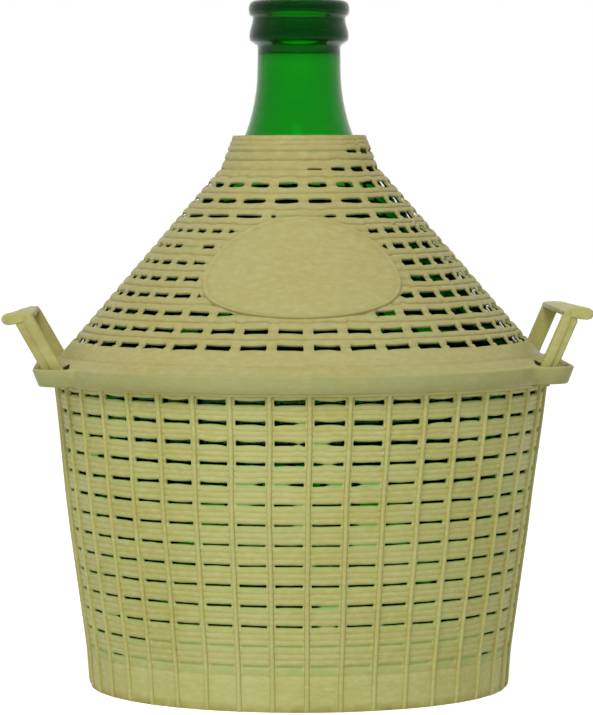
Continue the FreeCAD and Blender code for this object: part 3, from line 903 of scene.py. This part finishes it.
def ear_ray(bearing, inset):
    """How far out the ears' rounded rectangle lies along a bearing."""
    along, across = abs(math.cos(math.radians(bearing))), abs(math.sin(math.radians(bearing)))
    reach, half, rounding = EAR_REACH - inset, EAR_HALF_LENGTH - inset, EAR_ROUNDING - inset
    if across * reach <= (half - rounding) * along:
        return reach / along
    if along * half <= (reach - rounding) * across:
        return half / across
    centre = (reach - rounding, half - rounding)
    reach_along = along * centre[0] + across * centre[1]
    return reach_along + math.sqrt(max(reach_along**2 - centre[0] ** 2 - centre[1] ** 2 + rounding**2, 0))


def soft_larger(first, second):
    """The larger of two radii, with a fillet where they are close."""
    return (first + second + math.hypot(first - second, 1.4)) / 2 - 0.12


def build_cover_skirt():
    """The flange and skirt, which widen at the sides into ears with a pocket round the handle's legs."""
    count = 480
    sections = []
    grime_and_shade = []
    for turn in range(count):
        bearing = FRONT + 360 * turn / count
        sag = 0.1 * wobble(bearing, 0, 25, 40)
        low = soft_larger(FLANGE_RADIUS - SKIRT_DRAFT, ear_ray(bearing, EAR_DRAFT))
        rim = soft_larger(FLANGE_RADIUS, ear_ray(bearing, 0.0))
        pocket = ear_ray(bearing, EAR_WALL)
        depth = ease((pocket - FLANGE_RADIUS - 0.2) / 1.4)
        ledge = [(rim - 1.3, 148.25), (rim - 1.45, 148.3), (rim - 1.6, 148.35), (rim - 1.75, 148.4)]
        ledge += [(rim - 1.9, 148.45), (rim - 2.05, 148.5), (rim - 2.2, 148.55), (rim - 2.35, 148.6)]
        sunk = [(pocket + 0.3, 148.05), (pocket, 147.7), (pocket - 0.1, POCKET_FLOOR + 0.5)]
        sunk += [(pocket - 0.6, POCKET_FLOOR), (FLANGE_RADIUS + 0.5, POCKET_FLOOR)]
        sunk += [(FLANGE_RADIUS, POCKET_FLOOR + 0.4), (FLANGE_RADIUS - 0.1, 147.8)]
        sunk += [(FLANGE_RADIUS - 0.6, 148.3)]
        profile = [(low - 0.6, SKIRT_BOTTOM), (low, SKIRT_BOTTOM + 0.5)]
        profile += [(between(low, rim, 0.5), 144.0), (rim, 147.3), (rim - 0.15, 147.9), (rim - 0.6, 148.15)]
        for flat, deep in zip(ledge, sunk):
            profile.append((between(flat[0], deep[0], depth), between(flat[1], deep[1], depth)))
        profile += [(113.2, 150.1), (110.4, 151.5), (109.75, 151.95), (109.3, 152.6)]
        profile += [(106.6, 152.2), (107.3, 150.6), (113.4, 146.8), (between(115.0, 117.5, depth), 143.8)]
        profile += [(low - EAR_WALL, 143.2), (low - EAR_WALL, SKIRT_BOTTOM)]
        sections.append([spot(radius, bearing, height + sag) for radius, height in profile])
        # Darker at the skirt's lower edge, with painted shade on the pocket floor, inside the flange and on
        # the skirt's inner faces.
        grime_and_shade += [0.15, 0.05, 0, 0, 0, 0] + [0.25 * depth] * 8 + [0.1, 0.1, 0.3, 0.1] + [0.3] * 6
    points, faces = lofted(sections + sections[:1], closed_ends=False)
    grime_and_shade += grime_and_shade[: len(sections[0])]
    marks = {"grime_and_shade": grime_and_shade, "thin": [0.0] * len(points)}
    size = len(sections[0])
    # The skirt's outer foot is tinted towards the darker green film colour as painted shade, since it faces
    # down.
    for start in range(0, len(points), size):
        marks["thin"][start : start + 5] = [0.45] * 5
    skirt = build("cover_skirt", points, faces, COVER_PLASTIC, "cover", marks)
    cutter_parts = []
    for side, lean in LEANS.items():
        width = LEG_WIDTHS[side] / math.cos(math.radians(lean))
        inner = handle_inner(POCKET_FLOOR - 2.0, lean) - LEG_CLEARANCE
        outer = handle_inner(POCKET_FLOOR, lean) + width + LEG_CLEARANCE
        half = HANDLE_LENGTH / 2
        for near in (-1, 1):
            start, end = sorted((near * (half + LEG_CLEARANCE), near * (half - LEG_DEPTH - LEG_CLEARANCE)))
            sections = []
            for height in (143.0, 156.0):
                corners = [(inner, start), (outer, start), (outer, end), (inner, end)]
                sections.append([(side * x * MM, y * MM, height * MM) for x, y in corners])
            cutter_parts.append(lofted(sections))
    points, faces = joined(cutter_parts)
    mesh = bpy.data.meshes.new("leg_slots")
    mesh.from_pydata(points, [], faces)
    work = bmesh.new()
    work.from_mesh(mesh)
    bmesh.ops.recalc_face_normals(work, faces=work.faces)
    work.to_mesh(mesh)
    work.free()
    # The cut faces round the legs take the dark material, as painted shade in the holes.
    mesh.materials.append(POCKET_SHADE)
    cutter = bpy.data.objects.new("leg_slots", mesh)
    bpy.context.scene.collection.objects.link(cutter)
    modifier = skirt.modifiers.new("leg_slots", "BOOLEAN")
    modifier.operation = "DIFFERENCE"
    modifier.solver = "EXACT"
    modifier.material_mode = "TRANSFER"
    modifier.object = cutter
    result = bpy.data.meshes.new_from_object(skirt.evaluated_get(bpy.context.evaluated_depsgraph_get()))
    skirt.modifiers.clear()
    skirt.data = result
    bpy.data.objects.remove(cutter)


def build_plate():
    """The smooth oval plate on the cone, left bare, with a thin raised rim."""
    count = 120
    rings = [(0.0, 1.0), (0.2, 1.0), (0.4, 1.0), (0.6, 0.95), (0.78, 0.95), (0.9, 0.95), (0.955, 0.95)]
    rings += [(0.965, 1.15), (0.985, 1.15), (0.995, 0.9), (1.0, 0.4), (1.005, -0.6)]
    rings += [(0.7, -1.1), (0.35, -1.1), (0.0, -1.1)]
    points, grime_and_shade = [], []
    for share, out in rings:
        for turn in range(count):
            angle = math.tau * turn / count
            across = PLATE_HALF_WIDTH * share * math.cos(angle)
            lift = math.sin(angle)
            if lift > 0:
                height = PLATE_CENTRE + PLATE_RISE * share * lift**PLATE_UPPER_POWER
            else:
                height = PLATE_CENTRE - PLATE_FALL * share * abs(lift) ** PLATE_LOWER_POWER
            along, up = cover_out(height)
            radius = cover_radius(height) + out * along
            bearing = FRONT + PLATE_TURN + math.degrees(math.asin(across / radius))
            points.append(spot(radius, bearing, height + out * up))
            grime_and_shade.append(0.35 if 0.95 < share < 0.96 or out < 0.6 else 0.0)
    faces = []
    for ring in range(len(rings) - 1):
        for turn in range(count):
            after = (turn + 1) % count
            start = ring * count
            faces.append((start + turn, start + after, start + count + after, start + count + turn))
    marks = {"grime_and_shade": grime_and_shade, "thin": [0.0] * len(points)}
    build("cover_plate", points, faces, COVER_PLASTIC, "cover", marks)


def arc(centre, radius, start, end, steps):
    """Points (radius, height) on an arc in the profile, angles in degrees from straight out."""
    result = []
    for step in range(steps + 1):
        angle = math.radians(between(start, end, step / steps))
        result.append((centre[0] + radius * math.cos(angle), centre[1] + radius * math.sin(angle)))
    return result


def body_point(share, inset=0.0):
    """A point (radius, height) on the bottle's tapered side, share of the way up from its foot."""
    return between(BODY_FOOT_RADIUS, SHOULDER_RADIUS, share) - inset, GLASS_SEAT + SHOULDER_HEIGHT * share


def build_bottle():
    """The blown bottle: punt, heel, tapered body, shoulder, cone, flared neck and two-ringed finish."""
    seat = GLASS_SEAT
    taper = math.degrees(math.atan((SHOULDER_RADIUS - BODY_FOOT_RADIUS) / SHOULDER_HEIGHT))
    outside = [(0.0, seat + 6.0), (30.0, seat + 5.6), (62.0, seat + 4.2), (66.0, seat + 1.2), (69.0, seat)]
    heel = HEEL_ROUNDING
    lean = math.radians(taper)
    heel_radius = BODY_FOOT_RADIUS - heel * math.tan(math.pi / 4 - lean / 2)
    outside += arc((heel_radius - 0.3, seat + heel), heel, -90, -taper, 8)
    outside += [body_point(share) for share in (0.2, 0.35, 0.5, 0.65, 0.8)]
    slope = math.degrees(SLOPE_ANGLE)
    rounding = SHOULDER_ROUNDING
    half_turn = math.radians((slope + taper) / 2)
    setback = rounding * math.tan(half_turn)
    start = (SHOULDER_RADIUS - setback * math.sin(lean), SHOULDER_CORNER - setback * math.cos(lean))
    centre = (start[0] - rounding * math.cos(lean), start[1] + rounding * math.sin(lean))
    outside += arc(centre, rounding, -taper, slope, 10)
    outside += [(cone_radius(height), height) for height in (172.0, 186.0, 200.0)]
    neck_corner = SHOULDER_CORNER + (SHOULDER_RADIUS - NECK_RADIUS) / SLOPE
    flare_centre = (NECK_RADIUS + NECK_FLARE, neck_corner + NECK_FLARE * math.tan(SLOPE_ANGLE / 2))
    outside += arc(flare_centre, -NECK_FLARE, slope, 0, 12)
    outside += [(18.9, 288.0), (18.85, 291.8), (19.4, 292.6), (21.0, 293.7), (22.3, 294.6), (22.65, 295.8)]
    outside += [(22.7, 297.0), (22.5, 298.6), (22.0, 300.6), (21.4, 302.6), (21.1, 304.4), (21.3, 305.4)]
    outside += [(22.1, 305.9), (22.7, 306.7), (22.95, 308.0), (23.0, 309.4), (22.8, 310.8), (22.1, 312.0)]
    outside += [(20.8, 312.8), (19.2, BOTTLE_TOP), (15.6, BOTTLE_TOP), (14.5, 312.6), (14.05, 311.8)]
    inside = [(14.0, 308.0), (14.0, 300.0), (14.2, 295.0), (15.2, 290.0), (16.0, 285.0), (16.0, 280.0)]
    neck = arc(flare_centre, -NECK_FLARE, slope, 0, 10)[:-1]
    inside += [(radius - NECK_WALL, height) for radius, height in reversed(neck)]
    wall = BODY_WALL / math.cos(SLOPE_ANGLE)
    inside += [(cone_radius(height) - wall, height) for height in (200.0, 186.0, 172.0)]
    inside += reversed(arc(centre, rounding - BODY_WALL, -taper, slope, 8))
    inside += [body_point(share, BODY_WALL) for share in (0.75, 0.5, 0.25)]
    inside += reversed(arc((heel_radius - 0.3, seat + heel), heel - BODY_WALL, -90, -taper, 6))
    inside += [(66.0, seat + 5.4), (60.0, seat + 8.4), (30.0, seat + 9.8), (0.0, seat + 10.2)]
    points, faces = revolved(outside + inside, 144)
    build("bottle", points, faces, GREEN_GLASS, "glass_bottle", sharp=80)


def white_material(name, diffuse, glow):
    """White that the camera sees as white, also through glass, while the light on the part stays plain."""
    shader = Shader(name)
    scatter = shader.add("ShaderNodeBsdfDiffuse")
    scatter.inputs["Color"].default_value = (diffuse, diffuse, diffuse, 1)
    shine = shader.add("ShaderNodeEmission")
    shine.inputs["Color"].default_value = (1, 1, 1, 1)
    path = shader.add("ShaderNodeLightPath")
    seen = shader.add("ShaderNodeMath", operation="MAXIMUM")
    shader.join(path.outputs["Is Camera Ray"], seen.inputs[0])
    shader.join(path.outputs["Is Glossy Ray"], seen.inputs[1])
    wide = shader.add("ShaderNodeMath", operation="MAXIMUM")
    shader.join(seen.outputs[0], wide.inputs[0])
    shader.join(path.outputs["Is Transmission Ray"], wide.inputs[1])
    shader.join(shader.times(wide.outputs[0], glow), shine.inputs["Strength"])
    total = shader.add("ShaderNodeAddShader")
    shader.join(scatter.outputs[0], total.inputs[0])
    shader.join(shine.outputs[0], total.inputs[1])
    shader.join(total.outputs[0], shader.output.inputs["Surface"])
    return shader.material


def build_stage():
    mesh = bpy.data.meshes.new("floor")
    reach = 6.0
    corners = [(-reach, -reach, 0), (reach, -reach, 0), (reach, reach, 0), (-reach, reach, 0)]
    mesh.from_pydata(corners, [], [(0, 1, 2, 3)])
    mesh.materials.append(white_material("floor_white", FLOOR_DIFFUSE, FLOOR_GLOW))
    floor = bpy.data.objects.new("floor", mesh)
    bpy.context.scene.collection.objects.link(floor)
    world = bpy.data.worlds.new("studio")
    world.use_nodes = True
    bpy.context.scene.world = world
    tree = world.node_tree
    background = tree.nodes["Background"]
    background.inputs["Color"].default_value = (1, 1, 1, 1)
    path = tree.nodes.new("ShaderNodeLightPath")
    seen = tree.nodes.new("ShaderNodeMath")
    seen.operation = "MAXIMUM"
    tree.links.new(path.outputs["Is Camera Ray"], seen.inputs[0])
    tree.links.new(path.outputs["Is Glossy Ray"], seen.inputs[1])
    wide = tree.nodes.new("ShaderNodeMath")
    wide.operation = "MAXIMUM"
    tree.links.new(seen.outputs[0], wide.inputs[0])
    tree.links.new(path.outputs["Is Transmission Ray"], wide.inputs[1])
    strength = tree.nodes.new("ShaderNodeMapRange")
    strength.inputs["To Min"].default_value = WORLD_LIGHT
    strength.inputs["To Max"].default_value = 1.0
    tree.links.new(wide.outputs[0], strength.inputs["Value"])
    tree.links.new(strength.outputs["Result"], background.inputs["Strength"])


def add_lamp(name, place, aim, size, watts):
    data = bpy.data.lights.new(name, "AREA")
    data.shape = "DISK"
    data.size = size
    data.energy = watts
    lamp = bpy.data.objects.new(name, data)
    lamp.location = place
    lamp.rotation_euler = (Vector(aim) - Vector(place)).to_track_quat("-Z", "Y").to_euler()
    lamp.visible_glossy = False
    bpy.context.scene.collection.objects.link(lamp)


def build_camera():
    data = bpy.data.cameras.new("camera")
    data.sensor_width = 36.0
    data.lens = FOCAL_PIXELS * data.sensor_width / IMAGE_HEIGHT
    data.clip_end = 20
    camera = bpy.data.objects.new("camera", data)
    camera.location = spot(CAMERA_DISTANCE, CAMERA_BEARING, CAMERA_HEIGHT)
    turn = math.radians(CAMERA_BEARING + 90)
    aside = math.atan((IMAGE_WIDTH / 2 - AXIS_PIXEL) / FOCAL_PIXELS)
    camera.rotation_euler = (math.pi / 2 - math.radians(CAMERA_PITCH), 0, turn - aside)
    bpy.context.scene.collection.objects.link(camera)
    bpy.context.scene.camera = camera


build_bottle()
build_basket_wall()
build_basket_ribs()
build_basket_lip()
build_basket_floor()
build_handles()
build_cover_wall()
build_cover_skirt()
build_plate()
build_stage()
add_lamp("key", (-0.25, -1.45, 1.9), LAMP_AIM, 1.0, 26)
add_lamp("fill", (-0.9, -2.0, 0.4), LAMP_AIM, 1.2, 6)
build_camera()
bpy.context.scene.view_settings.view_transform = "Standard"
